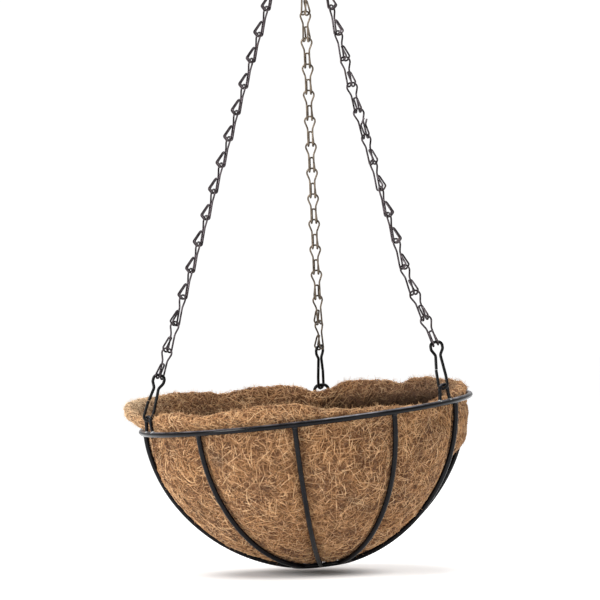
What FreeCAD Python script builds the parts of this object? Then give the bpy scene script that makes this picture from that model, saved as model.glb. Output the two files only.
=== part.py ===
import FreeCAD, Part
import math
import os

# Hanging basket: a black wire half-bowl frame with a moulded coir liner, hung
# from an S-hook by three chains of folded wire links.
#
# Row frame: millimetres, +Z up, origin at the bearing point inside the top of
# the hook's upper crook. +X is the basket's right, +Y its back. The basket is
# modelled as it hangs at rest: one chain is a link longer than the other two,
# so the rim ring leans, and its centre of mass is straight below the hook.
#
# Azimuth on the basket: 0 faces -Y (the front), positive turns to +X.

V = FreeCAD.Vector

# ---- rim ring, ribs and base ring -----------------------------------------
ring_r = 125.0          # rim ring, centreline radius (254 mm over the wire)
ring_wire = 2.1         # rim wire radius
rib_wire = 1.9          # rib wire radius
rib_top_r = 123.0       # rib centreline radius where it meets the rim ring
rib_top_z = -0.2        # rib end, against the inner flank of the rim ring
rib_start = 1.3         # straight run before the bend
rib_arcs = [(77.3, 9.46), (112.8, 22.88), (130.0, 44.95)]  # radius, turn
rib_azimuths = [-79.5, -40.0, -4.0, 31.4, 64.5, 100.0, 136.0, 172.0, 208.0, 244.0]
base_wire = 1.9         # base ring wire radius
base_in = 1.2           # base ring centreline beyond the end of a rib

# ---- eyelets welded on top of the rim ring --------------------------------
eyelet_azimuths = {"left": -69.0, "right": 55.5, "back": 173.5}
eyelet_wire = 1.3
eyelet_foot = 6.9       # half width at the feet
eyelet_head = 5.25       # half width at the head
eyelet_top = 13.0       # centreline height over the rim ring's centreline

# ---- spring clips, one from each eyelet to its chain -----------------------
clip_wire = 1.1
clip_length = 32.0      # bow top over the clip's own origin
clip_bow = 3.4          # a clip's last link turns about a point this far below its top
clip_seat = -0.05        # centre of the last link's hooks over the bow's top
clip_lift = 0.62        # clip origin above the eyelet's top wire
# each clip's plane, turned from the rim's tangent, degrees
clip_turn = {"left": 54.0, "right": -58.0, "back": 58.0}

# ---- folded wire links -----------------------------------------------------
link_wire = 0.7
link_pitch = 20.8
link_bow = 4.0          # half width of the bow
link_bow_drop = 4.2     # height of the bow's straight flanks
link_neck = 1.9         # half width at the neck
link_neck_drop = 9.4    # the neck below the bow's top
link_half = 1.8         # half spacing of the two hooks at the foot
link_back = -2.8        # the legs' depth at the foot
link_foot = -2.6        # lowest centreline of the foot
link_out = 3.6          # how far the folded hooks stand out
link_tip = 8.8          # height at which the folded ends close
link_rise = 0.3         # bow top over the centre of the hooks it hangs in
links = {"left": 18, "right": 17, "back": 17}
# turn of each link about its chain, degrees from the rim's tangent, foot first
turns = {
    "left": [47, 30, 13, 0, 0, 0, 0, 0, 0, 0, 0, 0, 0, 0, 0, -5, -13, -21],
    "right": [-51, -38, -22, -5, 12, 12, -5, -22, -39, -40, -26, -9, 8, 22, 30, 30, 30],
    "back": [51, 34, 17, 0, 0, 0, 0, 0, 0, 0, 0, 0, -12, -29, -46, -63, -80],
}
# lean of the clip and of each link from the straight line, degrees: the right
# chain is kinked just above its clip and sags a little
bends = {
    "left": [0.0] * 19,
    "right": [-6, 6, 7, 5] + [0.6] * 6 + [-1.6] * 8,
    "back": [0.0] * 18,
}

# ---- hook and gathering ring -----------------------------------------------
hook_wire = 2.0
gather_r = 11.0         # gathering ring, centreline radius
gather_wire = 1.3
gather_top_z = -45.4    # its top wire, resting in the hook's lower crook
gather_bottom_z = gather_top_z - 2 * gather_r
seat_x = {"left": -4.2, "right": 4.2, "back": 0.0}   # where each chain sits on it

# ---- coir liner ------------------------------------------------------------
liner_gap = 0.4         # between the liner and the ribs
liner_wall = 8.0
flare_r = 132.0         # widest radius of the rim of the liner
flare_top = 17.0        # its height over the rim ring's centreline
notch_half = 15.0       # half width of the cut-away at each eyelet
notch_floor = 1.5
recess_r = 117.0        # outer radius of the liner behind each clip

# ---- how it hangs ----------------------------------------------------------
lean_angle = 6.0035       # the rim ring's lean, degrees
lean_azimuth = -66.49    # its lowest side

# density, tonnes per cubic metre, used only to balance the basket
steel = 7.85
coir = 0.30


def unit(a):
    return V(a).multiply(1.0 / a.Length)


def path(points, radii, closed=False):
    """Straight runs joined by tangent arcs through the corner points."""
    n = len(points)
    corners = {}
    for i in range(n):
        if not closed and i in (0, n - 1):
            continue
        p, a, b = points[i], points[i - 1], points[(i + 1) % n]
        u, v = unit(a - p), unit(b - p)
        half = math.acos(max(-1.0, min(1.0, u.dot(v)))) / 2.0
        t = radii[i] / math.tan(half)
        w = unit(u + v)
        c = p + w * (radii[i] / math.sin(half))
        corners[i] = (p + u * t, c - w * radii[i], p + v * t)
    edges = []
    at = corners[0][2] if closed else points[0]
    for k in range(1, n + (1 if closed else 0)):
        i = k % n
        if i in corners:
            s, m, e = corners[i]
            if (s - at).Length > 1e-4:
                edges.append(Part.LineSegment(at, s).toShape())
            edges.append(Part.Arc(s, m, e).toShape())
            at = e
        else:
            edges.append(Part.LineSegment(at, points[i]).toShape())
            at = points[i]
    return Part.Wire(edges)


def tube(wire, r):
    """A round wire of radius r along an open path."""
    edge = wire.OrderedEdges[0]
    start = wire.OrderedVertexes[0].Point
    f, l = edge.FirstParameter, edge.LastParameter
    if (edge.valueAt(f) - start).Length < 1e-6:
        d = edge.tangentAt(f)
    else:
        d = edge.tangentAt(l) * -1
    ring = Part.Wire([Part.makeCircle(r, start, d)])
    solid = wire.makePipeShell([ring], True, False)
    if solid.ShapeType != "Solid":
        solid = solid.Solids[0]
    if solid.Volume < 0:
        solid.reverse()
    want = math.pi * r * r * wire.Length
    if not solid.isValid() or abs(solid.Volume - want) > 0.01 * want:
        raise RuntimeError("a wire did not sweep: %.2f of %.2f" % (solid.Volume, want))
    return solid


def rot(axis, degrees):
    return FreeCAD.Rotation(axis, degrees)


def around(az):
    """Ring-frame rotation that takes the front (-Y) to this azimuth."""
    return rot(V(0, 0, 1), az)


def placed(shape, rotation, at):
    s = shape.copy()
    s.Placement = FreeCAD.Placement(at, rotation).multiply(s.Placement)
    return s


def one(shape):
    s = shape.removeSplitter() if hasattr(shape, "removeSplitter") else shape
    solids = s.Solids
    big = max(solids, key=lambda q: q.Volume)
    return big


# ---------------------------------------------------------------------------
# frame of the basket, in the ring frame (ring centre at 0, ring normal +Z)
# ---------------------------------------------------------------------------
ring = Part.makeTorus(ring_r, ring_wire)


def rib_points():
    """Centreline of a rib in its own (outwards, up) plane, as arc edges."""
    p = (rib_top_r, rib_top_z - rib_start)
    h = -math.pi / 2
    out = [("line", (rib_top_r, rib_top_z), p)]
    for r, turn in rib_arcs:
        t = math.radians(turn)
        cx = p[0] + r * math.cos(h - math.pi / 2)
        cz = p[1] + r * math.sin(h - math.pi / 2)

        def on(a, cx=cx, cz=cz, r=r, h=h):
            b = h - a + math.pi / 2
            return (cx + r * math.cos(b), cz + r * math.sin(b))

        q = on(t)
        out.append(("arc", p, on(t / 2), q))
        p, h = q, h - t
    return out, p, h


def offset_profile(inset):
    """The rib curve moved inwards by inset, down to the pole."""
    segs, p, h = rib_points()
    out = []
    p = (rib_top_r - inset, rib_top_z - rib_start)
    h = -math.pi / 2
    for i, (r, turn) in enumerate(rib_arcs):
        t = math.radians(turn)
        r2 = r - inset
        cx = p[0] + r2 * math.cos(h - math.pi / 2)
        cz = p[1] + r2 * math.sin(h - math.pi / 2)

        def on(a, cx=cx, cz=cz, r2=r2, h=h):
            b = h - a + math.pi / 2
            return (cx + r2 * math.cos(b), cz + r2 * math.sin(b))

        if i == len(rib_arcs) - 1:
            # run on to the axis with one last arc that ends level at the pole
            q = on(t)
            out.append((p, on(t / 2), q))
            h2 = h - t
            rest = h2 + math.pi            # turn still to go
            r3 = q[0] / math.sin(rest)
            cx3 = q[0] + r3 * math.cos(h2 - math.pi / 2)
            cz3 = q[1] + r3 * math.sin(h2 - math.pi / 2)
            b0 = h2 + math.pi / 2
            mid = (cx3 + r3 * math.cos(b0 - rest / 2), cz3 + r3 * math.sin(b0 - rest / 2))
            end = (0.0, cz3 - r3)
            out.append((q, mid, end))
            return out
        q = on(t)
        out.append((p, on(t / 2), q))
        p, h = q, h - t


def v2(p):
    return V(p[0], 0, p[1])


segs, rib_end, rib_heading = rib_points()
edges = []
for s in segs:
    if s[0] == "line":
        edges.append(Part.LineSegment(v2(s[1]), v2(s[2])).toShape())
    else:
        edges.append(Part.Arc(v2(s[1]), v2(s[2]), v2(s[3])).toShape())
rib_raw = tube(Part.Wire(edges), rib_wire)

# the ribs' lower ends butt against the base ring's outer flank
bx = rib_end[0] + base_in * math.cos(rib_heading)
bz = rib_end[1] + base_in * math.sin(rib_heading)
base_ring = placed(Part.makeTorus(bx, base_wire), FreeCAD.Rotation(), V(0, 0, bz))

rib_cut = one(rib_raw.cut(ring).cut(base_ring))
ribs = []
for az in rib_azimuths:
    # the rib is drawn in the +X plane; azimuth 0 is -Y
    ribs.append(placed(rib_cut, around(az - 90.0), V(0, 0, 0)))

eye_pts = [
    V(-eyelet_foot, 0, 1.2),
    V(-eyelet_head - 0.35, 0, eyelet_top * 0.55),
    V(-eyelet_head, 0, eyelet_top),
    V(eyelet_head, 0, eyelet_top),
    V(eyelet_head + 0.35, 0, eyelet_top * 0.55),
    V(eyelet_foot, 0, 1.2),
]
eye_raw = tube(path(eye_pts, [0, 14, 4.1, 4.1, 14, 0]), eyelet_wire)
eyelets = {}
for name, az in eyelet_azimuths.items():
    e = placed(eye_raw, around(az), around(az).multVec(V(0, -ring_r, 0)))
    eyelets[name] = one(e.cut(ring))

# ---- clip: a hairpin, bow at the top, hook at the foot, in its XZ plane; ----
# the sprung leg's end stands half a millimetre over the hook's end
clip_pts = [
    V(3.19, 0, 11.2),
    V(3.25, 0, -3.2),
    V(-3.25, 0, -3.2),
    V(-3.2, 0, 6.0),
    V(-1.75, 0, 22.0),
    V(-4.3, 0, 26.5),
    V(-4.3, 0, clip_length),
    V(4.3, 0, clip_length),
    V(4.3, 0, 26.5),
    V(1.75, 0, 22.0),
    V(2.95, 0, 11.7),
]
clip_solid = tube(path(clip_pts, [0, 3.1, 3.1, 14, 3.6, 3.4, 3.2, 3.2, 3.4, 3.6, 0]), clip_wire)

# ---- one folded link: half of it, then its mirror --------------------------
top = link_pitch + link_rise


def leg_y(z):
    """Depth of the link's legs: 0 at the bow's top, link_back at the foot."""
    return link_back * (top - z) / (top - link_foot - 0.7)


def fold_points(side):
    return [
        V(side * link_bow, leg_y(top), top),
        V(side * link_bow, leg_y(top - link_bow_drop), top - link_bow_drop),
        V(side * link_neck, leg_y(top - link_neck_drop), top - link_neck_drop),
        V(side * link_half, link_back, link_foot + 0.7),
        V(side * link_half, 0.2, link_foot),
        V(side * link_half, link_out, link_foot + 2.2),
    ]


fold_radii = [3.55, 3.0, 6.0, 1.5, 2.0, 1.3]
half_pts = [V(0, 0, top)] + fold_points(1) + [V(1.35, 0.6, link_tip), V(0, 0.6, link_tip)]
half_link = tube(path(half_pts, [0] + fold_radii + [1.25, 0]), link_wire)
link_solid = one(half_link.fuse(half_link.mirror(V(0, 0, 0), V(1, 0, 0))))

# the joining link in the right chain: its folded ends stand open
open_pts = (
    [V(-3.6, 3.2, link_tip + 2.4), V(-2.1, 1.2, link_tip - 1.0)]
    + fold_points(-1)[::-1] + fold_points(1)
    + [V(1.6, 1.0, link_tip - 1.0), V(-1.6, 3.4, link_tip + 3.4)]
)
join_solid = tube(path(open_pts, [0, 2.0] + fold_radii[::-1] + fold_radii + [2.0, 0]), link_wire)
join_at = 8             # its place in the right chain, counted from the foot

# ---- liner ------------------------------------------------------------------
outer = offset_profile(rib_wire + liner_gap)
inner = offset_profile(rib_wire + liner_gap + liner_wall)
o0, i0 = outer[0][0], inner[0][0]
lip = [
    (o0[0], o0[1]),
    (o0[0] + 0.1, 2.0),
    (flare_r - 5.0, flare_top - 8.0),
    (flare_r, flare_top - 3.0),
    (flare_r - 3.0, flare_top),
    (flare_r - 9.0, flare_top - 1.0),
    (i0[0] + 2.5, 4.0),
    (i0[0], i0[1]),
]
liner_edges = []
for a, m, b in outer:
    liner_edges.append(Part.Arc(v2(a), v2(m), v2(b)).toShape())
for k in range(len(lip) - 1):
    liner_edges.append(Part.LineSegment(v2(lip[k]), v2(lip[k + 1])).toShape())
for a, m, b in inner:
    liner_edges.append(Part.Arc(v2(a), v2(m), v2(b)).toShape())
liner_edges.append(Part.LineSegment(v2(outer[-1][2]), v2(inner[-1][2])).toShape())
face = Part.Face(Part.Wire(Part.__sortEdges__(liner_edges)))
liner = face.revolve(V(0, 0, 0), V(0, 0, 1), 360)
if liner.ShapeType != "Solid":
    liner = liner.Solids[0]
if liner.Volume < 0:
    liner.reverse()
for az in eyelet_azimuths.values():
    q = around(az)
    slot = Part.makeBox(2 * notch_half, 80, 60, V(-notch_half, -170, notch_floor))
    recess = Part.makeBox(2 * notch_half, 60, 60, V(-notch_half, -recess_r - 60, -16.0))
    liner = liner.cut(placed(slot, q, V(0, 0, 0))).cut(placed(recess, q, V(0, 0, 0)))
liner = one(liner)

# ---------------------------------------------------------------------------
# hang the basket: rotation from the lean, position from the chain lengths
# ---------------------------------------------------------------------------
a = math.radians(lean_azimuth)
lean_dir = V(math.sin(a), -math.cos(a), 0)
lean = rot(V(0, 0, 1).cross(lean_dir), lean_angle)

top_seat = gather_wire + link_wire + 0.15      # bow top over the gathering wire
run = {}
pieces = {}
for k, n in links.items():
    # clip from the eyelet's head to its last link, then n links up to the seat
    first = clip_lift + clip_length - clip_bow
    pieces[k] = [first, clip_bow + clip_seat + link_pitch] + [link_pitch] * (n - 2) + [top - top_seat]
    # the leans are shifted together until the run closes on the straight line
    b = [math.radians(x) for x in bends[k]]
    for _ in range(20):
        side = sum(q * math.sin(x) for q, x in zip(pieces[k], b))
        shift = side / sum(q * math.cos(x) for q, x in zip(pieces[k], b))
        b = [x - shift for x in b]
    bends[k] = b
    run[k] = sum(q * math.cos(x) for q, x in zip(pieces[k], b))

eye_local = {k: around(az).multVec(V(0, -ring_r, eyelet_top)) for k, az in eyelet_azimuths.items()}


def seat(k):
    x = seat_x[k]
    return V(x, 0, gather_top_z - gather_r - math.sqrt(gather_r ** 2 - x ** 2))


centre = V(-40, -15, -450)
for _ in range(60):
    rows, rhs = [], []
    for k in links:
        d = centre + lean.multVec(eye_local[k]) - seat(k)
        rows.append(unit(d))
        rhs.append(run[k] - d.Length)
    r1, r2, r3 = rows
    det = r1.dot(r2.cross(r3))
    step = (r2.cross(r3) * rhs[0] + r3.cross(r1) * rhs[1] + r1.cross(r2) * rhs[2]) * (1.0 / det)
    centre = centre + step
    if step.Length < 1e-9:
        break

place = FreeCAD.Placement(centre, lean)


def hung(shape):
    s = shape.copy()
    s.Placement = place.multiply(s.Placement)
    return s


nodes = {}
nodes["rim_ring"] = hung(ring)
nodes["base_ring"] = hung(base_ring)
for i, r in enumerate(ribs):
    nodes["rib_%02d" % (i + 1)] = hung(r)
for k, e in eyelets.items():
    nodes[k + "_eyelet"] = hung(e)
nodes["coir_liner"] = hung(liner)


def chain_frame(k, bend, degrees):
    """Rotation whose Z runs up the link and whose X is the rim's tangent, turned."""
    foot = place.multVec(eye_local[k])
    z = unit(seat(k) - foot)
    side = unit(z.cross(V(0, 1, 0)))           # in the plane that faces the front
    z = rot(side.cross(z), math.degrees(bend) * (-1 if k == "right" else 1)).multVec(z)
    out = lean.multVec(around(eyelet_azimuths[k]).multVec(V(0, -1, 0)))
    y = unit(out - z * out.dot(z))
    x = y.cross(z)
    m = FreeCAD.Matrix(x.x, y.x, z.x, 0, x.y, y.y, z.y, 0, x.z, y.z, z.z, 0, 0, 0, 0, 1)
    base = FreeCAD.Placement(m).Rotation
    return base.multiply(rot(V(0, 0, 1), degrees)), z


for k, n in links.items():
    at = place.multVec(eye_local[k])
    q, z = chain_frame(k, bends[k][0], clip_turn[k])
    nodes[k + "_clip"] = placed(clip_solid, q, at + z * clip_lift)
    at = at + z * pieces[k][0]
    group = []
    for i in range(n):
        q, z = chain_frame(k, bends[k][i + 1], turns[k][i])
        start = at + z * (clip_bow + clip_seat) if i == 0 else at
        if k == "right" and i == join_at:
            nodes["joining_link"] = placed(join_solid, q, start)
        else:
            group.append((i, placed(link_solid, q, start)))
        at = at + z * pieces[k][i + 1]
    print(k, "chain ends %.3f mm from its seat" % (at - seat(k)).Length)
    third = math.ceil(n / 3.0)
    for j, word in enumerate(("lower", "middle", "upper")):
        some = [s for i, s in group if j * third <= i < (j + 1) * third]
        nodes["%s_chain_%s" % (k, word)] = Part.makeCompound(some)

# ---- hook and gathering ring, in the row frame ------------------------------
hook_pts = [
    V(0, 11, -17), V(0, 11, 2), V(0, -11, 2), V(0, -11, -13),
    V(0, 7, -33), V(0, 7, -49), V(0, -7, -49), V(0, -7, -37.5),
]
nodes["s_hook"] = tube(path(hook_pts, [0, 10.9, 10.9, 10, 12, 6.9, 6.9, 0]), hook_wire)
gather = placed(Part.makeTorus(gather_r, gather_wire), rot(V(1, 0, 0), 90), V(0, 0, gather_top_z - gather_r))
nodes["gathering_ring"] = gather

# ---- balance: the hung parts' centre of mass lies below the hook ------------
m, c = 0.0, V(0, 0, 0)
for name, s in nodes.items():
    if name in ("s_hook", "gathering_ring"):
        continue
    d = coir if name == "coir_liner" else steel
    for q in s.Solids:
        w = q.Volume * d
        m += w
        c = c + q.CenterOfMass * w
c = c * (1.0 / m)
print("hung mass %.0f g, centre of mass %.2f %.2f %.2f" % (m / 1000.0, c.x, c.y, c.z))
print("ring centre", centre, "runs", {k: round(v, 2) for k, v in run.items()})

os.makedirs("parts", exist_ok=True)
for name, s in nodes.items():
    for q in s.Solids:
        if not q.isValid() or not q.isClosed():
            raise RuntimeError(name + " is not a closed valid solid")
    s.exportStep("parts/%s.step" % name)
print(len(nodes), "nodes,", sum(len(s.Solids) for s in nodes.values()), "solids")
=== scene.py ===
import bpy
import math
import numpy as np
from mathutils import Matrix, Vector


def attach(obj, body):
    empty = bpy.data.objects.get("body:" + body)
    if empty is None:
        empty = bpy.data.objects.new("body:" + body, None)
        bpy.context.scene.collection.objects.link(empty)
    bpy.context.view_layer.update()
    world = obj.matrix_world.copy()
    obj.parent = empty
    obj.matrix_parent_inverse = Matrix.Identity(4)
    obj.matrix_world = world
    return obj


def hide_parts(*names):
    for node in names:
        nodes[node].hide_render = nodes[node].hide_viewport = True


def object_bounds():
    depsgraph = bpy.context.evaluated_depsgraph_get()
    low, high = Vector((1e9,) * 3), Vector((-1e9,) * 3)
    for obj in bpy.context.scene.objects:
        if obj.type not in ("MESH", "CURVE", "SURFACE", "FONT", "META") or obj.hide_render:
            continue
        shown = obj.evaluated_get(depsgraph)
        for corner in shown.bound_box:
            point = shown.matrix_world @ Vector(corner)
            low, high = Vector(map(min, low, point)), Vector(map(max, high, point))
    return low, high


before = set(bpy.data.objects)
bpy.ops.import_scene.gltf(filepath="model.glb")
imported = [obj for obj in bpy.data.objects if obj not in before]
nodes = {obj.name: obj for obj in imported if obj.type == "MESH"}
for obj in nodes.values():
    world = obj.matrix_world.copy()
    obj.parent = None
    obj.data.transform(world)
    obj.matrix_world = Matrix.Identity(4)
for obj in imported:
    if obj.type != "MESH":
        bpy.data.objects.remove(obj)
cad_low, cad_high = [Vector(c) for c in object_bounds()]

MM = 0.001
SEED = 20


# ---------------------------------------------------------------------------
# where the basket hangs: centre and lean of the rim ring, read from the frame
# ---------------------------------------------------------------------------
def mesh_points(name):
    me = nodes[name].data
    co = np.zeros(len(me.vertices) * 3)
    me.vertices.foreach_get("co", co)
    return co.reshape(-1, 3)


ring = mesh_points("rim_ring")
mid = ring.mean(0)
_, _, axes = np.linalg.svd((ring - mid)[:: max(1, len(ring) // 4000)], full_matrices=False)
up_n = axes[2] * (1 if axes[2][2] > 0 else -1)
turn = Vector((0, 0, 1)).rotation_difference(Vector(up_n)).to_matrix()
LEAN = np.array(turn)                       # ring frame -> row frame
flat = (ring - mid) @ LEAN
CENTRE = mid + LEAN @ ((flat.max(0) + flat.min(0)) / 2)
RING_R = ((flat.max(0) - flat.min(0))[:2].mean()) / 2 / MM - 2.1


def to_row(p):
    """Ring frame, millimetres, to the row frame, metres."""
    return (np.asarray(p) * MM) @ LEAN.T + CENTRE


# ---------------------------------------------------------------------------
# seeded noise
# ---------------------------------------------------------------------------
def lattice(i, j, k, seed):
    h = (i.astype(np.int64) * 73856093) ^ (j.astype(np.int64) * 19349663) ^ (k.astype(np.int64) * 83492791) ^ (seed * 2654435761)
    h = (h ^ (h >> 13)) & 0xFFFFFFFF
    h = (h * 1274126177) & 0xFFFFFFFF
    h = (h ^ (h >> 16)) & 0xFFFFFFFF
    return h / 4294967295.0 * 2 - 1


def noise(p, size, seed):
    """Smooth value noise, about -1 to 1, with features of the given size."""
    q = np.asarray(p, float) / size + 1000.0
    f = np.floor(q)
    t = q - f
    t = t * t * (3 - 2 * t)
    f = f.astype(np.int64)
    out = 0.0
    for a in (0, 1):
        for b in (0, 1):
            for c in (0, 1):
                w = ((t[..., 0] if a else 1 - t[..., 0])
                     * (t[..., 1] if b else 1 - t[..., 1])
                     * (t[..., 2] if c else 1 - t[..., 2]))
                out = out + w * lattice(f[..., 0] + a, f[..., 1] + b, f[..., 2] + c, seed)
    return out


def smooth(x, a, b):
    t = np.clip((x - a) / (b - a), 0, 1)
    return t * t * (3 - 2 * t)


# ---------------------------------------------------------------------------
# the coir liner's surface, in the ring frame, millimetres
# ---------------------------------------------------------------------------
RIB_TOP_R, RIB_TOP_Z = 123.0, -1.5
RIB_ARCS = [(77.3, 9.46), (112.8, 22.88), (130.0, 44.95)]
RIB_AZ = np.array([-79.5, -40.0, -4.0, 31.4, 64.5, 100.0, 136.0, 172.0, 208.0, 244.0])
EYELET_AZ = {"left": -69.0, "right": 55.5, "back": 173.5}


def body_profile(inset):
    """The rib's curve moved inwards, from under the ring to the pole."""
    p = np.array([RIB_TOP_R - inset, RIB_TOP_Z])
    h = -math.pi / 2
    pts = [p]
    for k, (r, t) in enumerate(RIB_ARCS):
        t = math.radians(t)
        r = r - inset
        cx = p[0] + r * math.cos(h - math.pi / 2)
        cz = p[1] + r * math.sin(h - math.pi / 2)
        for a in np.linspace(0, t, 40)[1:]:
            b = h - a + math.pi / 2
            pts.append(np.array([cx + r * math.cos(b), cz + r * math.sin(b)]))
        p, h = pts[-1], h - t
    rest = h + math.pi
    r = p[0] / math.sin(rest)
    cx = p[0] + r * math.cos(h - math.pi / 2)
    cz = p[1] + r * math.sin(h - math.pi / 2)
    for a in np.linspace(0, rest, 20)[1:]:
        b = h + math.pi / 2 - a
        pts.append(np.array([cx + r * math.cos(b), cz + r * math.sin(b)]))
    pts[-1][0] = 0.0
    return np.array(pts)


def resample(line, n):
    d = np.concatenate([[0], np.cumsum(np.linalg.norm(np.diff(line, axis=0), axis=1))])
    s = np.linspace(0, d[-1], n)
    return np.stack([np.interp(s, d, line[:, i]) for i in range(line.shape[1])], 1)


def below(line, z):
    """The part of a falling profile under height z."""
    i = int(np.argmax(line[:, 1] < z))
    t = (line[i - 1, 1] - z) / (line[i - 1, 1] - line[i, 1])
    return np.vstack([line[i - 1] + t * (line[i] - line[i - 1]), line[i:]])


N_AZ = 480
WALL = 8.0
outer_line = resample(below(body_profile(2.3), -9.0), 88)[::-1]       # pole upwards
inner_line = resample(below(body_profile(2.3 + WALL), -11.0), 58)     # downwards to the pole

# height of the liner's rim over the ring, and how far it flares, by azimuth
RIM = [
    (-178, 14, 126), (-165, 18, 129), (-150, 18.5, 131), (-138, 20.5, 132), (-126, 22.5, 133),
    (-112, 24.0, 135), (-100, 23.0, 138.0), (-92, 21.5, 138.5), (-85, 17.0, 136), (-78, 13.5, 130),
    (-69, 13.0, 126), (-60, 14.5, 127), (-49, 15.5, 129), (-34, 13.6, 129), (-27, 13.8, 129),
    (-21, 15.4, 129.5), (-12.5, 17.0, 129.5), (-3.5, 15.0, 128.5), (2, 12.0, 127), (6, 9.0, 125.5),
    (10, 7.0, 124), (15, 5.6, 122.6), (20, 4.6, 122), (27, 3.8, 121.6), (34, 2.2, 121.4),
    (42, 1.0, 121), (50, 0.8, 120.5), (55.5, 1.5, 120), (62, 4.0, 120.5), (70, 6.0, 121.5),
    (80, 6.5, 122.2), (90, 6.5, 123), (104, 8.0, 125), (118, 9.5, 128), (130, 12.5, 129),
    (136, 11.0, 128), (142, 9.0, 127), (150, 13.0, 128), (160, 14.0, 128), (170, 13.0, 126),
]

az = np.linspace(-math.pi, math.pi, N_AZ, endpoint=False)
table = np.array(RIM, float)
x = np.radians(table[:, 0])
wrap_x = np.concatenate([x - 2 * math.pi, x, x + 2 * math.pi])


def around(values):
    """Periodic, smoothed interpolation of a table column."""
    v = np.interp(az, wrap_x, np.tile(values, 3))
    for _ in range(10):
        v = (np.roll(v, 1) + 2 * v + np.roll(v, -1)) / 4
    return v


rim_h = around(table[:, 1])
rim_f = around(table[:, 2])
circle = np.stack([np.sin(az) * 125, -np.cos(az) * 125, np.zeros(N_AZ)], 1)
rim_h = rim_h + 0.9 * noise(circle, 16, 3) + 0.7 * noise(circle, 7, 4)
rim_f = rim_f + (0.8 * noise(circle, 20, 5) + 0.5 * noise(circle, 8, 6)) * smooth(rim_f, 122, 126)


def apart(a, b):
    return (a - b + math.pi) % (2 * math.pi) - math.pi


pinch = np.zeros(N_AZ)
for a in EYELET_AZ.values():
    d = 121 * apart(az, math.radians(a))
    pinch = np.maximum(pinch, np.exp(-(np.abs(d) / 13.0) ** 4))
rim_h = rim_h * (1 - pinch) + np.minimum(rim_h, 9.5) * pinch
rim_f = rim_f * (1 - pinch) + 116.0 * pinch
level_r = 120.9 * (1 - pinch) + 116.0 * pinch
rim_f = np.maximum(rim_f, level_r)

N_LIP = 26
lip = np.zeros((N_AZ, N_LIP, 2))
for i in range(N_AZ):
    h, f, r0 = rim_h[i], rim_f[i], level_r[i]
    z1, z2 = min(-1.0, h - 7.0), min(3.0, h - 4.6)
    z4 = h - 3.6
    zi = min(4.0, h - 4.0)
    ctrl = np.array([
        outer_line[-1],
        (r0, z1),
        (r0 + 0.5, z2),
        (r0 + 0.60 * (f - r0), z2 + 0.5 * (z4 - z2)),
        (f, z4),
        (f - 0.9, h - 1.5),
        (f - 3.2, h - 0.1),
        (f - 6.0, h - 0.4),
        (f - 8.4, h - 2.6),
        (f - 8.6 - 0.35 * (f - r0), z2 + 0.45 * (z4 - z2) - 1.0),
        (r0 - 8.0, zi - 3.0),
        inner_line[0],
    ])
    line = resample(ctrl, N_LIP + 1)
    for _ in range(2):
        line[1:-1] = (line[:-2] + 2 * line[1:-1] + line[2:]) / 4
    lip[i] = line[1:]

n_out, n_in = len(outer_line), len(inner_line) - 1
N_P = n_out + N_LIP + n_in
prof = np.zeros((N_AZ, N_P, 2))
prof[:, :n_out] = outer_line[None]
prof[:, n_out:n_out + N_LIP] = lip
prof[:, n_out + N_LIP:] = inner_line[None, 1:]
K_LIP, K_IN = n_out, n_out + N_LIP
TOP = n_out + 14                      # about the highest point of the lip

A = az[:, None]
S = np.stack([prof[..., 0] * np.sin(A), -prof[..., 0] * np.cos(A), prof[..., 1]], -1)


def normals(S):
    da = np.roll(S, -1, 0) - np.roll(S, 1, 0)
    dk = np.gradient(S, axis=1)
    n = np.cross(dk, da)
    length = np.linalg.norm(n, axis=-1, keepdims=True)
    n = n / np.maximum(length, 1e-9)
    # the pole rows have no width
    n[:, 0] = (0, 0, -1)
    n[:, -1] = (0, 0, 1)
    return n


N = normals(S)
if N[0, 40, 2] > 0:                   # outside of the bowl faces down and out
    N = -N
    N[:, 0], N[:, -1] = (0, 0, -1), (0, 0, 1)

rad, hgt = prof[..., 0], prof[..., 1]
kk = np.arange(N_P)[None] * np.ones((N_AZ, 1))
outside = 1 - smooth(kk, K_LIP + 8, K_LIP + 16)

rib_gap = np.full((N_AZ, N_P), 1e3)
for a in RIB_AZ:
    rib_gap = np.minimum(rib_gap, rad * np.abs(apart(A, math.radians(a))))
near_rib = np.exp(-(rib_gap / 4.5) ** 2) * (kk < K_LIP + 2)

bulge = np.zeros((N_AZ, N_P))
order = np.sort(RIB_AZ % 360)
amounts = {64.5: 5.6, 280.5: 2.2, 320.0: 1.7, 356.0: 2.0, 31.4: 2.2}
for i, a in enumerate(order):
    b = order[(i + 1) % len(order)]
    width = (b - a) % 360
    t = ((np.degrees(A) - a) % 360) / width
    shape = np.where(t < 1, 4 * t * (1 - t), 0) ** 0.8
    env = smooth(-hgt, 13, 32) * (1 - smooth(-hgt, 84, 108))
    if abs(a - 64.5) < 0.1:
        env = smooth(-hgt, 1.5, 6) * (1 - smooth(-hgt, 12, 50))
    bulge += shape * env * amounts.get(round(float(a), 1), 1.9)
bulge *= kk < K_LIP
# the liner lies a little slack between the two ribs on the right
slack = np.zeros((N_AZ, N_P))
t = (np.degrees(A) - 64.5) / 35.5
slack = np.where((t > 0) & (t < 1), (4 * t * (1 - t)) ** 0.9, 0) * smooth(-hgt, 30, 60) * (1 - 0.8 * smooth(-hgt, 92, 110)) * 7.5

push_in = 4.6 * pinch[:, None] * smooth(hgt, -24, -12) * ((kk < K_LIP) | (kk >= K_IN))
push_in = np.where(kk >= K_IN, -push_in, push_in)

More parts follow.
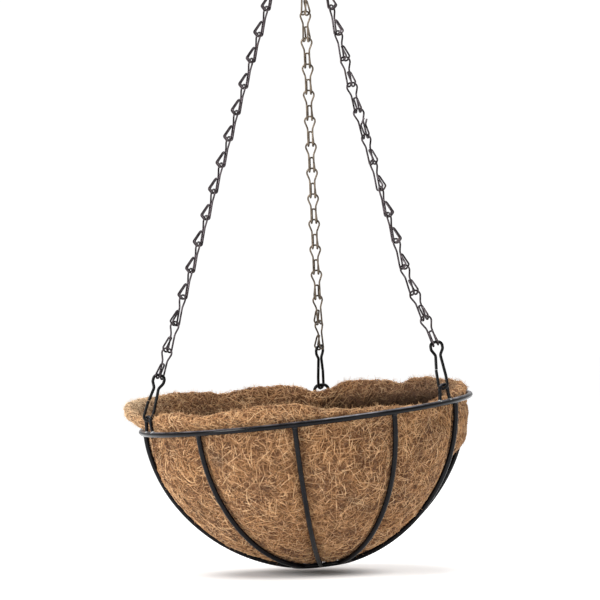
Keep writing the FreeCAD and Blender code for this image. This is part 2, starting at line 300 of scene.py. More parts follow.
calm = 1 - 0.85 * near_rib
edge = smooth(kk, K_LIP + 2, K_LIP + 8) * (1 - smooth(kk, K_IN - 5, K_IN + 2))
lump = (0.75 * noise(S, 22, 11) + 0.40 * noise(S, 7.5, 12) + 0.45 * noise(S, 3.2, 13)) * calm
lump_in = 1.1 * noise(S, 26, 14) + 0.8 * noise(S, 9, 15) + 0.4 * noise(S, 3.6, 16)
fray = 0.8 * noise(S, 6, 17) + 0.7 * noise(S, 3.0, 18)
move = outside * (bulge - slack - 1.15 * near_rib + lump - push_in) + (1 - outside) * (lump_in - push_in + 0.85 * slack) + edge * fray
pole = np.minimum(kk, N_P - 1 - kk)
move = move * smooth(pole, 0, 6)
S = S + N * move[..., None]

# keep the liner inside the ring where it passes it
r_now = np.hypot(S[..., 0], S[..., 1])
limit = np.where((S[..., 2] > -15.5) & (S[..., 2] < 3.0) & (kk < K_LIP + 10), 121.9, 1e3)
limit = np.where((S[..., 2] <= -15.5) & (kk < K_LIP), 121.9 + 0.35 * (-15.5 - S[..., 2]), limit)
in_lobe = (np.abs(apart(A, math.radians(82))) < math.radians(20)) & (S[..., 2] <= -12) & (kk < K_LIP)
limit = np.where(in_lobe, np.minimum(limit, 121.9 - 0.24 * (-12 - S[..., 2])), limit)
limit = np.where((pinch[:, None] > 0.5) & (S[..., 2] > -14) & (kk < K_IN), 116.8, limit)
scale = np.minimum(1.0, limit / np.maximum(r_now, 1e-6))
S[..., 0] *= scale
S[..., 1] *= scale
N2 = normals(S)
if N2[0, 40, 2] > 0:
    N2 = -N2
    N2[:, 0], N2[:, -1] = (0, 0, -1), (0, 0, 1)
N = N2
rad = np.hypot(S[..., 0], S[..., 1])
hgt = S[..., 2]


def spot(a, z, half_a, half_z):
    return np.exp(-((rad * apart(A, math.radians(a)) / half_a) ** 2 + ((hgt - z) / half_z) ** 2))


stain_and_painted_light = (1.0 * spot(-34.0, -21, 6, 5) + 0.8 * spot(-36.5, -14, 3, 4) + 0.8 * spot(14, -60, 5, 4)
         + 0.45 * spot(-20, -45, 10, 4) + 0.35 * spot(-2, -30, 9, 18) + 0.5 * spot(43, -33, 4, 9)
         + 0.35 * spot(48, -12, 7, 5) + 0.4 * spot(22, -70, 8, 6) + 0.5 * spot(54, -56, 3, 7)
         + 0.4 * spot(-55, -60, 9, 9) + 0.4 * spot(110, -50, 14, 9) + 0.5 * spot(-150, -30, 11, 12)
         + 0.4 * spot(160, -70, 12, 9)) * (kk < K_LIP)
stain_and_painted_light += 0.20 * smooth(noise(S, 30, 31) + 0.5 * noise(S, 11, 32), 0.35, 1.0)
# darker and redder over the slack lobe on the right
stain_and_painted_light += 0.75 * spot(88, -22, 24, 26) * (kk < K_LIP + 4)
stain_and_painted_light = np.clip(stain_and_painted_light, 0, 1)
inside = smooth(kk, K_LIP + 15, K_LIP + 25)
# painted paler, straw coloured, where the rim stands high on the left: a painted highlight on the top-lit lip (below
# zero is paler than plain)
stain_and_painted_light = stain_and_painted_light * (1 - inside) - 1.5 * spot(-101, 14, 36, 16) * (1 - smooth(kk, K_LIP + 12, K_LIP + 20))
# the wall inside is darker: soil stain and painted shade of the hollow, with a painted shadow at the back right
painted_shadow_back_right = np.exp(-(apart(A, math.radians(108)) / 0.85) ** 4)
stain_and_painted_light = stain_and_painted_light + inside * 0.45 + smooth(kk, K_LIP + 9, K_LIP + 16) * 0.9 * painted_shadow_back_right
inside = inside * (1 + 0.11 * painted_shadow_back_right)


# ---------------------------------------------------------------------------
# meshes
# ---------------------------------------------------------------------------
def new_mesh(name, verts, faces, smooth_shade=True, attributes=None):
    me = bpy.data.meshes.new(name)
    faces = [np.asarray(f) for f in faces if len(f)]
    me.vertices.add(len(verts))
    me.vertices.foreach_set("co", np.asarray(verts, np.float32).ravel())
    loops = np.concatenate([f.ravel() for f in faces])
    totals = np.concatenate([np.full(len(f), f.shape[1]) for f in faces])
    starts = np.concatenate([[0], np.cumsum(totals)[:-1]])
    me.loops.add(len(loops))
    me.loops.foreach_set("vertex_index", loops.astype(np.int32))
    me.polygons.add(len(totals))
    me.polygons.foreach_set("loop_start", starts.astype(np.int32))
    me.polygons.foreach_set("loop_total", totals.astype(np.int32))
    if smooth_shade:
        me.polygons.foreach_set("use_smooth", np.ones(len(totals), bool))
    for key, value in (attributes or {}).items():
        at = me.attributes.new(key, "FLOAT", "POINT")
        at.data.foreach_set("value", np.asarray(value, np.float32).ravel())
    me.update(calc_edges=True)
    me.validate()
    o = bpy.data.objects.new(name, me)
    bpy.context.scene.collection.objects.link(o)
    return o


# shell: one vertex at each pole, rings between
ring_cols = np.arange(1, N_P - 1)
verts = S[:, 1:-1].reshape(-1, 3)
m = len(ring_cols)
idx = np.arange(N_AZ * m).reshape(N_AZ, m)
nxt = np.roll(idx, -1, 0)
quads = np.stack([idx[:, :-1], nxt[:, :-1], nxt[:, 1:], idx[:, 1:]], -1).reshape(-1, 4)
p0, p1 = len(verts), len(verts) + 1
verts = np.vstack([verts, S[:, 0].mean(0), S[:, -1].mean(0)])
tri0 = np.stack([np.full(N_AZ, p0), nxt[:, 0], idx[:, 0]], -1)
tri1 = np.stack([np.full(N_AZ, p1), idx[:, -1], nxt[:, -1]], -1)
shell_attr = {
    "stain_and_painted_light": np.concatenate([stain_and_painted_light[:, 1:-1].ravel(), [0.2, 0.5]]),
    "inside": np.concatenate([inside[:, 1:-1].ravel(), [0, 1]]),
}
# outward winding
fa = quads[m * 3]
pts = verts[fa]
face_n = np.cross(pts[1] - pts[0], pts[2] - pts[0])
if face_n @ N[3, 1] < 0:
    quads, tri0, tri1 = quads[:, ::-1], tri0[:, ::-1], tri1[:, ::-1]
shell = new_mesh("coir_liner_shell", to_row(verts), [quads, tri0, tri1], True, shell_attr)


def sample(grid, a, k):
    """Bilinear look-up of a grid over azimuth (radians) and profile index."""
    u = (a + math.pi) / (2 * math.pi) * N_AZ
    i = np.floor(u).astype(int)
    fu = u - i
    k = np.clip(k, 0, N_P - 1.001)
    j = np.floor(k).astype(int)
    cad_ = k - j
    i0, i1 = i % N_AZ, (i + 1) % N_AZ
    if grid.ndim == 3:
        fu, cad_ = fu[..., None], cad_[..., None]
    return ((grid[i0, j] * (1 - fu) + grid[i1, j] * fu) * (1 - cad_)
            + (grid[i0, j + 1] * (1 - fu) + grid[i1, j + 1] * fu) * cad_)


cell = np.linalg.norm(np.cross(np.roll(S, -1, 0) - S, np.gradient(S, axis=1)), axis=-1)
spacing = np.linalg.norm(np.gradient(S, axis=1), axis=-1)


def starts(rng, n, k0, k1, weight=None):
    w = cell[:, k0:k1].copy()
    if weight is not None:
        w *= weight[:, k0:k1]
    pick = rng.choice(w.size, n, p=w.ravel() / w.sum())
    i, j = np.divmod(pick, k1 - k0)
    a = -math.pi + (i + rng.random(n)) / N_AZ * 2 * math.pi
    return a, k0 + j + rng.random(n)


def tubes(points, side, radius, sides=3):
    """Thin tubes along (n, K, 3) points; side is a direction across each point."""
    t = np.gradient(points, axis=1)
    t /= np.maximum(np.linalg.norm(t, axis=-1, keepdims=True), 1e-9)
    b = np.cross(t, side)
    b /= np.maximum(np.linalg.norm(b, axis=-1, keepdims=True), 1e-9)
    a = np.cross(b, t)
    ang = np.arange(sides) * 2 * math.pi / sides + 0.5
    v = (points[:, :, None] + radius[..., None, None]
         * (np.cos(ang)[None, None, :, None] * a[:, :, None] + np.sin(ang)[None, None, :, None] * b[:, :, None]))
    n, K = points.shape[:2]
    idx = np.arange(n * K * sides).reshape(n, K, sides)
    q = np.stack([idx[:, :-1], np.roll(idx[:, :-1], -1, 2), np.roll(idx[:, 1:], -1, 2), idx[:, 1:]], -1).reshape(-1, 4)
    caps = [idx[:, 0, ::-1].reshape(-1, sides), idx[:, -1].reshape(-1, sides)]
    return v.reshape(-1, 3), [q] + caps


def laid_fibres(name, seed, n, k0, k1, length, thick, lift, K=5, curl=0.9, tone=(0, 1), weight=None, along=0.0):
    """Fibres that lie in the surface, crossing each other at every angle."""
    rng = np.random.default_rng(seed)
    a, k = starts(rng, n, k0, k1, weight)
    size = rng.uniform(length[0], length[1], n) * rng.uniform(0.75, 1.25, n)
    step = size / (K - 1)
    phi = rng.uniform(0, 2 * math.pi, n)
    if along:
        phi = np.where(rng.random(n) < along, rng.normal(0, 0.45, n) + math.pi * (rng.random(n) < 0.5), phi)
    bend = rng.normal(0, curl, n) / (K - 1)
    P, side, near, st, ins = [], [], [], [], []
    for i in range(K):
        P.append(sample(S, a, k))
        side.append(sample(N, a, k))
        near.append(sample(near_rib, a, k))
        st.append(sample(stain_and_painted_light, a, k))
        ins.append(sample(inside, a, k))
        r = np.maximum(sample(rad, a, k), 5.0)
        sp = np.maximum(sample(spacing, a, k), 0.3)
        a = a + np.cos(phi) * step / r
        k = k + np.sin(phi) * step / sp
        low, high = k < max(k0, 1), k > min(k1, N_P - 2)
        k = np.clip(k, max(k0, 1), min(k1, N_P - 2))
        phi = np.where(low | high, -phi, phi) + bend + rng.normal(0, 0.25 * curl, n)
        a = (a + math.pi) % (2 * math.pi) - math.pi
    P, side = np.stack(P, 1), np.stack(side, 1)
    near, st, ins = np.stack(near, 1), np.stack(st, 1), np.stack(ins, 1)
    side /= np.maximum(np.linalg.norm(side, axis=-1, keepdims=True), 1e-9)
    t = np.linspace(0, 1, K)[None]
    h0 = rng.uniform(lift[0], lift[1], (n, 1))
    h = h0 * (0.35 + 0.9 * np.sin(math.pi * t)) + rng.normal(0, 0.12, (n, K))
    h = h * (1 - 0.8 * near) - 0.15
    r = rng.uniform(thick[0], thick[1], (n, 1)) * (0.65 + 0.35 * np.sin(math.pi * t) ** 0.5)
    P = P + side * h[..., None]
    # clear of the ring, also while the liner is lifted
    out = np.hypot(P[..., 0], P[..., 1])
    hem = np.where((P[..., 2] > -15.5) & (P[..., 2] < 3.4), 122.25, 1e3)
    hem = np.where((P[..., 2] <= -15.5) & (P[..., 2] > -30), 122.25 + 0.35 * (-15.5 - P[..., 2]), hem)
    hem = np.minimum(1.0, hem / np.maximum(out, 1))
    P[..., 0] *= hem
    P[..., 1] *= hem
    v, f = tubes(P, side, r)
    per = np.repeat(rng.uniform(tone[0], tone[1], n), K * 3)
    attr = {"tone": per, "stain_and_painted_light": np.repeat(st.reshape(-1), 3), "inside": np.repeat(ins.reshape(-1), 3)}
    return new_mesh(name, to_row(v), f, True, attr)


def free_fibres(name, seed, n, k0, k1, length, thick, out, K=5, weight=None, rise=0.3):
    """Loose ends that stand out of the surface and curl over."""
    rng = np.random.default_rng(seed)
    a, k = starts(rng, n, k0, k1, weight)
    base, nrm = sample(S, a, k), sample(N, a, k)
    near = sample(near_rib, a, k)
    st, ins = sample(stain_and_painted_light, a, k), sample(inside, a, k)
    wander = rng.normal(0, 1, (n, 3))
    d = nrm * rng.uniform(out[0], out[1], (n, 1)) + wander * 0.55 + np.array([0, 0, rise]) * rng.random((n, 1))
    d /= np.linalg.norm(d, axis=1, keepdims=True)
    size = rng.uniform(length[0], length[1], n) * (1 - 0.8 * near)
    curl = rng.normal(0, 0.5, (n, 3))
    P = [base - nrm * 0.6]
    for i in range(1, K):
        P.append(P[-1] + d * (size / (K - 1))[:, None])
        d = d + curl * 0.55
        d /= np.linalg.norm(d, axis=1, keepdims=True)
    P = np.stack(P, 1)
    # nothing through the ring
    r = np.hypot(P[..., 0], P[..., 1])
    block = (P[..., 2] > -15.5) & (P[..., 2] < 3.4) & (r > 122.2)
    s = np.where(block, 122.2 / np.maximum(r, 1), 1)
    P[..., 0] *= s
    P[..., 1] *= s
    side = np.cross(np.gradient(P, axis=1), rng.normal(0, 1, (n, 1, 3)))
    side /= np.maximum(np.linalg.norm(side, axis=-1, keepdims=True), 1e-9)
    t = np.linspace(0, 1, K)[None]
    rr = rng.uniform(thick[0], thick[1], (n, 1)) * (1.0 - 0.6 * t)
    v, f = tubes(P, side, rr)
    attr = {"tone": np.repeat(rng.uniform(0.35, 1.0, n), K * 3), "stain_and_painted_light": np.repeat(st, K * 3), "inside": np.repeat(ins, K * 3)}
    return new_mesh(name, to_row(v), f, True, attr)


fibres = []
# tones differ at random, but lower layers are darker and upper layers paler: painted shade under the top fibres
fibres.append(laid_fibres("coir_fibres_deep", 101, 9300, 3, K_LIP + 8, (4, 9), (0.22, 0.36), (0.0, 0.35), K=4, curl=0.10, tone=(0.0, 0.45)))
fibres.append(laid_fibres("coir_fibres_lower", 102, 8000, 3, K_LIP + 10, (4, 10), (0.20, 0.32), (0.2, 0.6), K=4, curl=0.08, tone=(0.05, 0.85)))
fibres.append(laid_fibres("coir_fibres_fine", 110, 9300, 3, K_LIP + 10, (3, 8), (0.18, 0.30), (0.3, 0.8), K=4, curl=0.05, tone=(0.05, 0.90)))
fibres.append(laid_fibres("coir_fibres_upper", 109, 7600, 3, K_LIP + 10, (4, 11), (0.19, 0.31), (0.4, 0.95), K=4, curl=0.06, tone=(0.25, 1.0)))
# short dark coir bits that stand in for the shaded gaps between fibres: partly painted shade
fibres.append(laid_fibres("coir_specks", 111, 8600, 3, K_LIP + 8, (1.0, 3.2), (0.26, 0.46), (0.6, 1.0), K=4, curl=0.3, tone=(0.0, 0.05)))
fibres.append(laid_fibres("coir_fibres_top", 103, 2600, 3, K_LIP + 12, (8, 20), (0.17, 0.28), (0.7, 1.2), K=6, curl=0.15, tone=(0.6, 1.0)))
fibres.append(laid_fibres("coir_fibres_rim", 104, 9300, K_LIP + 1, K_IN + 3, (4, 10), (0.17, 0.30), (0.2, 1.1), K=4, curl=0.7, tone=(0.15, 1.0), along=0.3))
fibres.append(laid_fibres("coir_fibres_inside", 105, 9300, K_IN - 4, N_P - 3, (7, 17), (0.26, 0.42), (0.2, 1.1), K=4, curl=0.5, tone=(0.0, 0.7)))
lip_weight = (np.exp(-((kk - TOP) / 6.0) ** 2) + 0.15) * (1 - 0.98 * smooth(pinch[:, None], 0.05, 0.5))
fibres.append(free_fibres("coir_rim_fray", 106, 6500, K_LIP + 4, K_IN + 2, (1.6, 5.5), (0.11, 0.2), (0.5, 1.3), weight=lip_weight))
fibres.append(free_fibres("coir_surface_fray", 107, 5200, 3, K_LIP + 6, (1.5, 4.5), (0.10, 0.18), (0.15, 0.6), weight=1 - 0.9 * near_rib, rise=0.0))
fibres.append(free_fibres("coir_inside_fray", 108, 2600, K_IN, N_P - 4, (2.0, 6.0), (0.12, 0.2), (0.2, 0.8), rise=0.2))


# ---------------------------------------------------------------------------
# materials
# ---------------------------------------------------------------------------
class Build:
    def __init__(self, name):
        self.mat = bpy.data.materials.new(name)
        self.mat.use_nodes = True
        self.nt = self.mat.node_tree
        self.bsdf = self.nt.nodes["Principled BSDF"]

    def node(self, kind, **values):
        n = self.nt.nodes.new(kind)
        for key, v in values.items():
            if hasattr(n, key) and key not in n.inputs:
                setattr(n, key, v)
            else:
                n.inputs[key].default_value = v
        return n

    def link(self, a, b):
        self.nt.links.new(a, b)

    def coords(self):
        return self.node("ShaderNodeTexCoord").outputs["Object"]

    def noise(self, scale, detail=3.0, rough=0.55, distort=0.0, vector=None):
        n = self.node("ShaderNodeTexNoise")
        n.inputs["Scale"].default_value = scale
        n.inputs["Detail"].default_value = detail
        n.inputs["Roughness"].default_value = rough
        n.inputs["Distortion"].default_value = distort
        self.link(vector or self.coords(), n.inputs["Vector"])
        return n.outputs["Fac"]

    def ramp(self, fac, stops, mode="LINEAR"):
        r = self.nt.nodes.new("ShaderNodeValToRGB")
        r.color_ramp.interpolation = mode
        e = r.color_ramp.elements
        while len(e) < len(stops):
            e.new(0.5)
        for k, (pos, col) in enumerate(stops):
            e[k].position = pos
            e[k].color = (*col, 1) if len(col) == 3 else col
        self.link(fac, r.inputs["Fac"])
        return r.outputs["Color"]

    def mix(self, fac, a, b, blend="MIX"):
        n = self.nt.nodes.new("ShaderNodeMix")
        n.data_type = "RGBA"
        n.blend_type = blend
        for sock, v in ((n.inputs[0], fac), (n.inputs[6], a), (n.inputs[7], b)):
            if hasattr(v, "links"):
                self.link(v, sock)
            elif isinstance(v, (int, float)):
                sock.default_value = v
            else:
                sock.default_value = (*v, 1)
        return n.outputs[2]

    def math(self, op, a, b=None, clamp=False):
        n = self.nt.nodes.new("ShaderNodeMath")
        n.operation = op
        n.use_clamp = clamp
        for sock, v in ((n.inputs[0], a), (n.inputs[1], b)):
            if v is None:
                continue
            if hasattr(v, "links"):
                self.link(v, sock)
            else:
                sock.default_value = v
        return n.outputs[0]

    def span(self, fac, a, b):
        n = self.nt.nodes.new("ShaderNodeMapRange")
        n.inputs["To Min"].default_value = a
        n.inputs["To Max"].default_value = b
        self.link(fac, n.inputs["Value"])
        return n.outputs["Result"]

    def attr(self, name):
        n = self.node("ShaderNodeAttribute")
        n.attribute_name = name
        return n.outputs["Fac"]

    def bump(self, height, strength, distance):
        n = self.nt.nodes.new("ShaderNodeBump")
        n.inputs["Strength"].default_value = strength
        n.inputs["Distance"].default_value = distance
        self.link(height, n.inputs["Height"])
        self.link(n.outputs["Normal"], self.bsdf.inputs["Normal"])

    def color(self, socket):
        self.link(socket, self.bsdf.inputs["Base Color"])

    def rough(self, socket):
        self.link(socket, self.bsdf.inputs["Roughness"])

    def set(self, **values):
        for key, v in values.items():
            self.bsdf.inputs[key.replace("_", " ")].default_value = v


def painted_wire(name, dark, light, roughness, coat, speck=0.0, bump=0.05, dust_and_top_highlight=0.35):
    """Thick glossy paint over steel wire: mottled, with faint orange peel and a few dull scuffs."""
    b = Build(name)
    mottle = b.noise(160, 3)
    col = b.ramp(mottle, [(0.3, dark), (0.7, light)])
    scuff = b.ramp(b.noise(420, 5, 0.7), [(0.60, (0, 0, 0)), (0.72, (1, 1, 1))])
    if speck:
        col = b.mix(b.math("MULTIPLY", scuff, speck), col, (0.20, 0.19, 0.19))
    # a film of dust on what faces up, and a painted highlight: faces that point up are painted paler grey
    face = b.nt.nodes.new("ShaderNodeNewGeometry").outputs["Normal"]
    split = b.nt.nodes.new("ShaderNodeSeparateXYZ")
    b.link(face, split.inputs[0])
    up = b.ramp(split.outputs["Z"], [(0.45, (0, 0, 0)), (0.95, (1, 1, 1))])
    patch = b.ramp(b.noise(70, 4, 0.6), [(0.40, (0.25, 0.25, 0.25)), (0.62, (1, 1, 1))])
    col = b.mix(b.math("MULTIPLY", b.math("MULTIPLY", up, patch), dust_and_top_highlight), col, (0.30, 0.285, 0.31))
    b.color(col)
    b.rough(b.math("ADD", b.span(b.noise(240, 4), roughness[0], roughness[1]), b.math("MULTIPLY", scuff, 0.12), True))
    b.set(Metallic=0.0, Specular_IOR_Level=0.11, Coat_Weight=coat, Coat_Roughness=0.12)
    b.bump(b.noise(900, 3, 0.6), bump, 0.0004)
    return b.mat


def steel_wire(name, dark, light, roughness, metal=0.85):
    """Dark plated wire, dull in patches, with a brown cast in places."""
    b = Build(name)
    col = b.ramp(b.noise(260, 4, 0.6), [(0.32, dark), (0.62, light)])
    rust = b.ramp(b.noise(95, 5, 0.65), [(0.56, (0, 0, 0)), (0.70, (1, 1, 1))])
    col = b.mix(b.math("MULTIPLY", rust, 0.45), col, (0.060, 0.034, 0.022))
    b.color(col)
    b.rough(b.span(b.noise(380, 4), roughness[0], roughness[1]))
    b.set(Metallic=metal, Specular_IOR_Level=0.5)
    b.bump(b.noise(1400, 3, 0.6), 0.08, 0.0003)
    return b.mat


def weld_metal():
    b = Build("weld_metal")
    col = b.ramp(b.noise(700, 4, 0.6), [(0.30, (0.10, 0.10, 0.10)), (0.55, (0.34, 0.34, 0.33)), (0.8, (0.55, 0.55, 0.53))])
    b.color(col)
    b.rough(b.span(b.noise(600, 4), 0.30, 0.55))
    b.set(Metallic=0.7)
    b.bump(b.noise(900, 4, 0.6), 0.3, 0.0005)
    return b.mat


def coir_shell():
    """Felted coir between the fibres: brown, pitted, darker inside from soil stain and painted shade."""
    b = Build("coir_felt")
    fine = b.noise(520, 5, 0.65, 0.6)
    wide = b.noise(55, 4, 0.6, 0.4)
    col = b.ramp(fine, [(0.30, (0.040, 0.017, 0.008)), (0.50, (0.120, 0.055, 0.025)), (0.70, (0.26, 0.135, 0.062))])
    col = b.mix(b.math("MULTIPLY", b.ramp(wide, [(0.42, (0, 0, 0)), (0.62, (1, 1, 1))]), 0.35), col, (0.17, 0.075, 0.032))
    # inside the bowl the felt is painted near black: soil stain and painted shade of the hollow
    deep = b.mix(0.85, col, (0.014, 0.008, 0.005))
    # darker where stained; the same mask carries the painted shade inside and the painted shadow at the back right
    col = b.mix(b.math("MULTIPLY", b.attr("stain_and_painted_light"), 0.65, True), col, (0.060, 0.030, 0.018))
    col = b.mix(b.math("MULTIPLY", b.attr("inside"), 0.85), col, deep)
    b.color(col)
    b.set(Specular_IOR_Level=0.15, Sheen_Weight=0.03, Sheen_Roughness=0.5)
    b.rough(b.span(fine, 0.80, 0.98))
    cells = b.nt.nodes.new("ShaderNodeTexVoronoi")
    cells.feature = "DISTANCE_TO_EDGE"
    cells.inputs["Scale"].default_value = 420
    b.link(b.coords(), cells.inputs["Vector"])
    b.bump(b.math("ADD", fine, b.math("MULTIPLY", cells.outputs["Distance"], 0.6)), 0.9, 0.0012)
    return b.mat


def coir_fibre():
    """Single coir fibres, straw to rust brown, each with its own tone and slow colour drift."""
    b = Build("coir_fibre")
    drift = b.math("SUBTRACT", b.noise(210, 3, 0.6), 0.5)
    tone = b.math("ADD", b.attr("tone"), b.math("MULTIPLY", drift, 0.7), True)
    col = b.ramp(tone, [(0.0, (0.100, 0.040, 0.016)), (0.35, (0.315, 0.148, 0.061)),
                        (0.68, (0.555, 0.310, 0.142)), (1.0, (0.82, 0.545, 0.300))])
    warm = b.ramp(b.noise(38, 3, 0.5), [(0.38, (0, 0, 0)), (0.66, (1, 1, 1))])
    col = b.mix(b.math("MULTIPLY", warm, 0.30), col, (0.60, 0.30, 0.105))
    # darker where stained; the same mask carries the painted shade inside and the painted shadow at the back right
    col = b.mix(b.math("MULTIPLY", b.attr("stain_and_painted_light"), 0.62, True), col, (0.085, 0.045, 0.027))
    # below zero the mask paints fibres pale straw: the painted highlight on the high rim at the left
    col = b.mix(b.math("MULTIPLY", b.attr("stain_and_painted_light"), -0.62, True), col, (0.86, 0.66, 0.43))
    # inside the bowl the fibres are painted near black: soil stain and painted shade of the hollow
    inner = b.mix(0.92, col, (0.024, 0.014, 0.007))
    col = b.mix(b.math("MULTIPLY", b.attr("inside"), 0.9), col, inner)
    b.color(col)
    b.set(Sheen_Roughness=0.45)
    dull = b.math("SUBTRACT", 1.0, b.math("MULTIPLY", b.attr("inside"), 0.92), True)
    b.link(b.math("MULTIPLY", dull, 0.35), b.bsdf.inputs["Specular IOR Level"])
    b.link(b.math("MULTIPLY", dull, 0.06), b.bsdf.inputs["Sheen Weight"])
    b.rough(b.span(b.noise(900, 3), 0.52, 0.78))
    b.bump(b.noise(2600, 3, 0.6), 0.35, 0.0002)
    return b.mat


frame_black = painted_wire("frame_black_paint", (0.0014, 0.0014, 0.0019), (0.0050, 0.0050, 0.0068), (0.18, 0.32), 0.06)
# the rim ring's top is painted palest: dust and a painted highlight
ring_black = painted_wire("rim_black_paint", (0.0012, 0.0012, 0.0016), (0.0042, 0.0042, 0.0056), (0.14, 0.26), 0.06, dust_and_top_highlight=0.85)
clip_black = painted_wire("clip_black", (0.0016, 0.0015, 0.0016), (0.0055, 0.0052, 0.0055), (0.22, 0.38), 0.05)
chain_steel = steel_wire("chain_dark_steel", (0.012, 0.009, 0.010), (0.085, 0.070, 0.076), (0.22, 0.40))
chain_back = steel_wire("chain_grey_steel", (0.045, 0.034, 0.024), (0.19, 0.150, 0.112), (0.28, 0.46))
hook_steel = steel_wire("hook_dark_steel", (0.05, 0.046, 0.046), (0.16, 0.15, 0.15), (0.22, 0.38))

for name, o in nodes.items():
    if name == "coir_liner":
        continue
    if name == "rim_ring":
        m_ = ring_black
    elif name.startswith("rib_") or name in ("base_ring",) or name.endswith("_eyelet"):
        m_ = frame_black
    elif name.endswith("_clip"):
        m_ = clip_black
    elif name.startswith("back_chain"):
        m_ = chain_back
    elif "_chain_" in name or name == "joining_link":
        m_ = chain_steel
    else:
        m_ = hook_steel
    if o.material_slots:
        for s in o.material_slots:
            s.material = m_
    else:
        o.data.materials.append(m_)

shell.data.materials.append(coir_shell())
fibre_mat = coir_fibre()
for o in fibres:
    o.data.materials.append(fibre_mat)
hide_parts("coir_liner")
for o in [shell] + fibres:
    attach(o, "liner")


# ---------------------------------------------------------------------------
# weld beads: ribs to rings, eyelets to the rim
# ---------------------------------------------------------------------------
def beads(name, spots, seed, mat):
    """Small lumpy weld beads; each spot is (centre, axes 3x3, half sizes)."""
    rng = np.random.default_rng(seed)
    nu, nv = 16, 9
    V, Q, T = [], [], []
    for c, ax, half in spots:
        base = sum(len(v) for v in V)
        th = np.linspace(0, math.pi, nv + 2)[1:-1]
        ph = np.arange(nu) * 2 * math.pi / nu
        g = np.stack([np.sin(th)[:, None] * np.cos(ph), np.sin(th)[:, None] * np.sin(ph), np.cos(th)[:, None] * np.ones(nu)], -1)
        g = np.concatenate([g.reshape(-1, 3), [[0, 0, 1], [0, 0, -1]]])
        lump = 1 + 0.13 * noise(g * 1.3 + rng.uniform(0, 50, 3), 1.0, seed)[:, None]
        V.append((g * lump * np.array(half)) @ np.array(ax) + np.array(c))
        i = base + np.arange(nv * nu).reshape(nv, nu)
        j = np.roll(i, -1, 1)
        Q.append(np.stack([i[:-1], i[1:], j[1:], j[:-1]], -1).reshape(-1, 4))
        T.append(np.stack([np.full(nu, base + nv * nu), i[0], j[0]], -1))
        T.append(np.stack([np.full(nu, base + nv * nu + 1), j[-1], i[-1]], -1))
    o = new_mesh(name, to_row(np.concatenate(V)), [np.concatenate(Q), np.concatenate(T)])
    o.data.materials.append(mat)
    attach(o, "basket")
    return o


def local_axes(a):
    a = math.radians(a)
    tang = (math.cos(a), math.sin(a), 0)
    out = (math.sin(a), -math.cos(a), 0)
    return np.array([tang, out, (0, 0, 1)])


rib_spots = []
for a in RIB_AZ:
    ax = local_axes(a)
    rib_spots.append((ax[1] * 123.7 + np.array([0, 0, -1.6]), ax, (2.5, 1.9, 1.7)))
eye_spots = []
for a in EYELET_AZ.values():
    ax = local_axes(a)
    for s in (-6.9, 6.9):
        eye_spots.append((ax[1] * 125.0 + ax[0] * s + np.array([0, 0, 1.7]), ax, (1.9, 1.7, 1.2)))
weld_black = painted_wire("weld_black_paint", (0.004, 0.004, 0.0045), (0.013, 0.013, 0.015), (0.22, 0.40), 0.2, bump=0.25)
beads("rib_weld_beads", rib_spots, 41, weld_black)
beads("eyelet_weld_beads", eye_spots, 42, weld_metal())


# ---------------------------------------------------------------------------
# studio: seamless pale floor, soft light
# ---------------------------------------------------------------------------
floor_z = cad_low.z - 0.004


def studio():
    """A wide, flat, pale disc; the white world is its horizon."""
    radii = [0.0, 0.3, 0.7, 1.4, 3.0, 8.0, 20.0, 45.0]
    n = 64
    t = np.arange(n) * 2 * math.pi / n
    v = [[CENTRE[0], CENTRE[1], floor_z]]
    for rr in radii[1:]:
        v += [[CENTRE[0] + rr * math.cos(a), CENTRE[1] + rr * math.sin(a), floor_z] for a in t]
    i = 1 + np.arange((len(radii) - 1) * n).reshape(len(radii) - 1, n)
    j = np.roll(i, -1, 1)
    q = np.stack([i[:-1], i[1:], j[1:], j[:-1]], -1).reshape(-1, 4)
    tri = np.stack([np.zeros(n, int), i[0], j[0]], -1)
    o = new_mesh("studio_floor", v, [q, tri])
    b = Build("studio_white")
    b.set(Base_Color=(0.90, 0.90, 0.90, 1), Roughness=0.9, Specular_IOR_Level=0.1,
          Emission_Color=(1, 1, 1, 1))
    # the pale card glows a little, less under the basket: the dark patch there is a painted contact shadow, fixed at
    # the rest place
    off = b.nt.nodes.new("ShaderNodeVectorMath")
    off.operation = "SUBTRACT"
    b.link(b.coords(), off.inputs[0])
    off.inputs[1].default_value = (CENTRE[0] - 0.012, CENTRE[1], floor_z)
    far = b.nt.nodes.new("ShaderNodeVectorMath")
    far.operation = "LENGTH"
    b.link(off.outputs["Vector"], far.inputs[0])
    glow = b.nt.nodes.new("ShaderNodeMapRange")
    glow.interpolation_type = "SMOOTHSTEP"
    b.link(far.outputs["Value"], glow.inputs["Value"])
    for key, v in (("From Min", 0.03), ("From Max", 0.085), ("To Min", 0.0), ("To Max", 0.55)):
        glow.inputs[key].default_value = v
    b.link(glow.outputs["Result"], b.bsdf.inputs["Emission Strength"])
    o.data.materials.append(b.mat)


studio()

world = bpy.data.worlds.new("studio_world")
bpy.context.scene.world = world
world.use_nodes = True
wn = world.node_tree
soft = wn.nodes["Background"]
soft.inputs["Color"].default_value = (1, 1, 1, 1)
soft.inputs["Strength"].default_value = 0.52
plain = wn.nodes.new("ShaderNodeBackground")
plain.inputs["Color"].default_value = (1, 1, 1, 1)
plain.inputs["Strength"].default_value = 1.05
kind = wn.nodes.new("ShaderNodeLightPath")
both = wn.nodes.new("ShaderNodeMixShader")
wn.links.new(kind.outputs["Is Camera Ray"], both.inputs["Fac"])
wn.links.new(soft.outputs["Background"], both.inputs[1])
wn.links.new(plain.outputs["Background"], both.inputs[2])
wn.links.new(both.outputs["Shader"], wn.nodes["World Output"].inputs["Surface"])


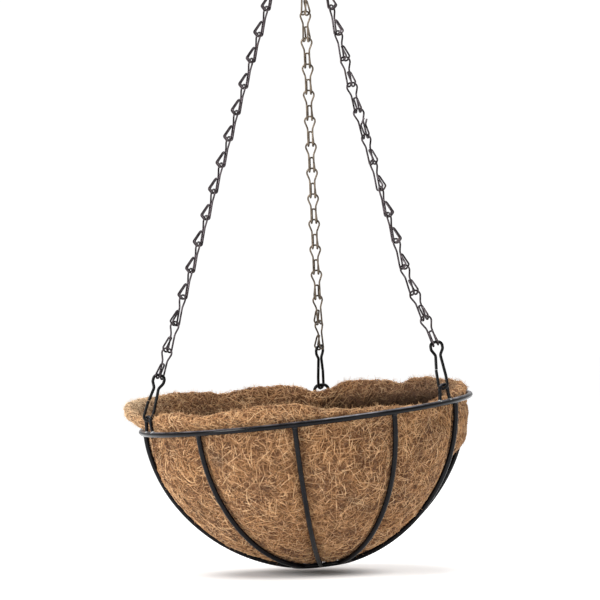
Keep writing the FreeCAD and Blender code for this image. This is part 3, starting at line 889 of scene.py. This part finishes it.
def area(name, at, target, size, power, tint=(1, 1, 1)):
    light = bpy.data.lights.new(name, "AREA")
    light.shape = "RECTANGLE"
    light.size, light.size_y = size
    light.energy = power
    light.color = tint
    o = bpy.data.objects.new(name, light)
    o.location = at
    o.rotation_euler = (Vector(target) - Vector(at)).to_track_quat("-Z", "Y").to_euler()
    bpy.context.scene.collection.objects.link(o)


aim = Vector(CENTRE) + Vector((0, 0, -0.05))
area("key_left", aim + Vector((-2.1, -1.35, 0.9)), aim, (0.8, 1.2), 56)
area("fill_right", aim + Vector((1.5, -1.8, 0.5)), aim, (0.8, 1.0), 6)
area("top_soft", aim + Vector((0.0, 0.1, 1.7)), aim, (0.9, 0.9), 22)

# ---------------------------------------------------------------------------
# camera
# ---------------------------------------------------------------------------
ELEV, ROLL, DIST = math.radians(1.117), math.radians(-1.149), 2.5
FOCAL = 3300.0                      # pixels, on a 600 pixel wide image
AT = (305.7, 412.8)                 # where the ring's centre shows
d = Vector((0, -math.cos(ELEV), math.sin(ELEV)))
r = Vector((1, 0, 0))
u = d.cross(r)
right = r * math.cos(ROLL) + u * math.sin(ROLL)
up = -r * math.sin(ROLL) + u * math.cos(ROLL)
base = Matrix((right, up, d)).transposed()
seen = Vector(((AT[0] - 300) / FOCAL, -(AT[1] - 300) / FOCAL, -1)).normalized()
aimed = base @ seen.rotation_difference(Vector((0, 0, -1))).to_matrix()
cam_data = bpy.data.cameras.new("camera")
cam_data.sensor_width = 36.0
cam_data.lens = FOCAL / 600 * 36
cam_data.clip_start, cam_data.clip_end = 0.05, 60
cam = bpy.data.objects.new("camera", cam_data)
cam.matrix_world = Matrix.Translation(Vector(CENTRE) + d * DIST) @ aimed.to_4x4()
bpy.context.scene.collection.objects.link(cam)
bpy.context.scene.camera = cam

bpy.context.scene.view_settings.view_transform = "Standard"
bpy.context.scene.view_settings.look = "None"
bpy.context.scene.view_settings.exposure = 0.0

for name, o in nodes.items():
    if name != "coir_liner":
        o.data.polygons.foreach_set("use_smooth", np.ones(len(o.data.polygons), bool))

bpy.context.view_layer.update()
